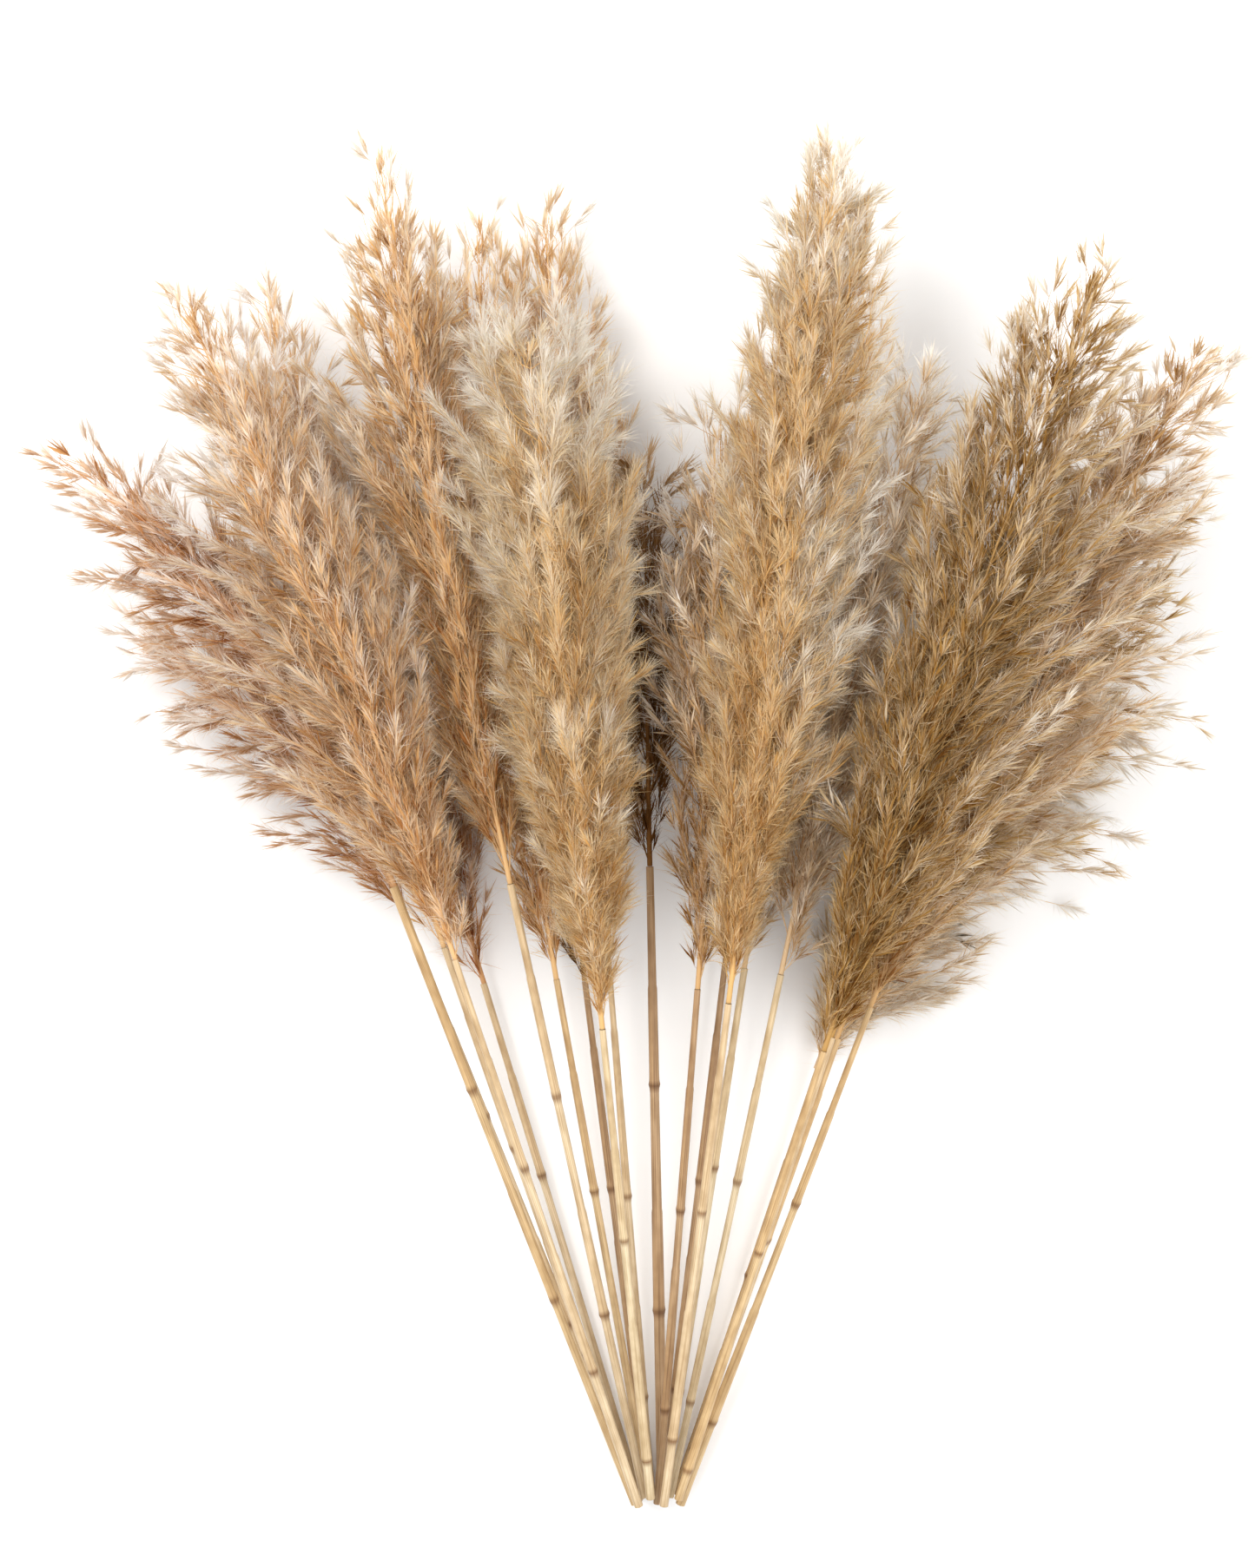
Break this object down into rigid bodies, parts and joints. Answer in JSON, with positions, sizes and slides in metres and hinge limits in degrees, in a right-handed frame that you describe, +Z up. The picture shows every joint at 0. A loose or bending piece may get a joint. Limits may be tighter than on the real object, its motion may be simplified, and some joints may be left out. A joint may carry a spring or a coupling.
{
  "type": "bunch of dried pampas grass",
  "caption": "Fan-shaped bunch of cut, dried pampas grass stalks lying on its side, each a slim jointed stem under a long feathery plume.",
  "frame": {"origin": "middle of the underside of the bunch's box, on the surface that it lies on", "axes": "+Y from the cut ends towards the plume tips, +Z up from the surface, +X to the right of the fan seen from above"},
  "size_m": [0.4844, 0.563, 0.1239],
  "materials": {
    "stem_golden": "dried reed stem, satin with fine lengthwise streaks",
    "stem_ivory": "dried reed stem, satin with fine lengthwise streaks",
    "stem_straw": "dried reed stem, satin with fine lengthwise streaks",
    "stem_umber": "dried reed stem, satin with fine lengthwise streaks",
    "plume_blush": "soft dried plume hairs and husks, matt with a silky edge",
    "plume_brown": "soft dried plume hairs and husks, matt with a silky edge",
    "plume_cream": "soft dried plume hairs and husks, matt with a silky edge",
    "plume_honey": "soft dried plume hairs and husks, matt with a silky edge",
    "plume_olive": "soft dried plume hairs and husks, matt with a silky edge",
    "plume_pearl": "soft dried plume hairs and husks, matt with a silky edge",
    "plume_rose": "soft dried plume hairs and husks, matt with a silky edge",
    "plume_russet": "soft dried plume hairs and husks, matt with a silky edge",
    "plume_tan": "soft dried plume hairs and husks, matt with a silky edge"
  },
  "bodies": {
    "root": {"stem_bottom_1": "stem_straw", "plume_bottom_1": "plume_russet", "stem_bottom_2": "stem_umber", "plume_bottom_2": "plume_brown", "stem_bottom_3": "stem_umber", "plume_bottom_3": "plume_brown", "stem_bottom_4": "stem_golden", "plume_bottom_4": "plume_pearl", "stem_lower_1": "stem_straw", "plume_lower_1": "plume_russet", "stem_lower_2": "stem_straw", "plume_lower_2": "plume_tan", "stem_lower_3": "stem_ivory", "plume_lower_3": "plume_pearl", "stem_lower_4": "stem_golden", "plume_lower_4": "plume_rose", "stem_middle_1": "stem_straw", "plume_middle_1": "plume_blush", "stem_middle_2": "stem_golden", "plume_middle_2": "plume_tan", "stem_middle_3": "stem_umber", "plume_middle_3": "plume_brown", "stem_middle_4": "stem_straw", "plume_middle_4": "plume_olive", "stem_upper_1": "stem_golden", "plume_upper_1": "plume_russet", "stem_upper_2": "stem_straw", "plume_upper_2": "plume_tan", "stem_upper_3": "stem_umber", "plume_upper_3": "plume_rose", "stem_upper_4": "stem_ivory", "plume_upper_4": "plume_pearl", "stem_upper_5": "stem_golden", "plume_upper_5": "plume_rose", "stem_top_1": "stem_straw", "plume_top_1": "plume_blush", "stem_top_2": "stem_ivory", "plume_top_2": "plume_cream", "stem_top_3": "stem_straw", "plume_top_3": "plume_honey", "stem_top_4": "stem_golden", "plume_top_4": "plume_olive"}
  },
  "joints": []
}
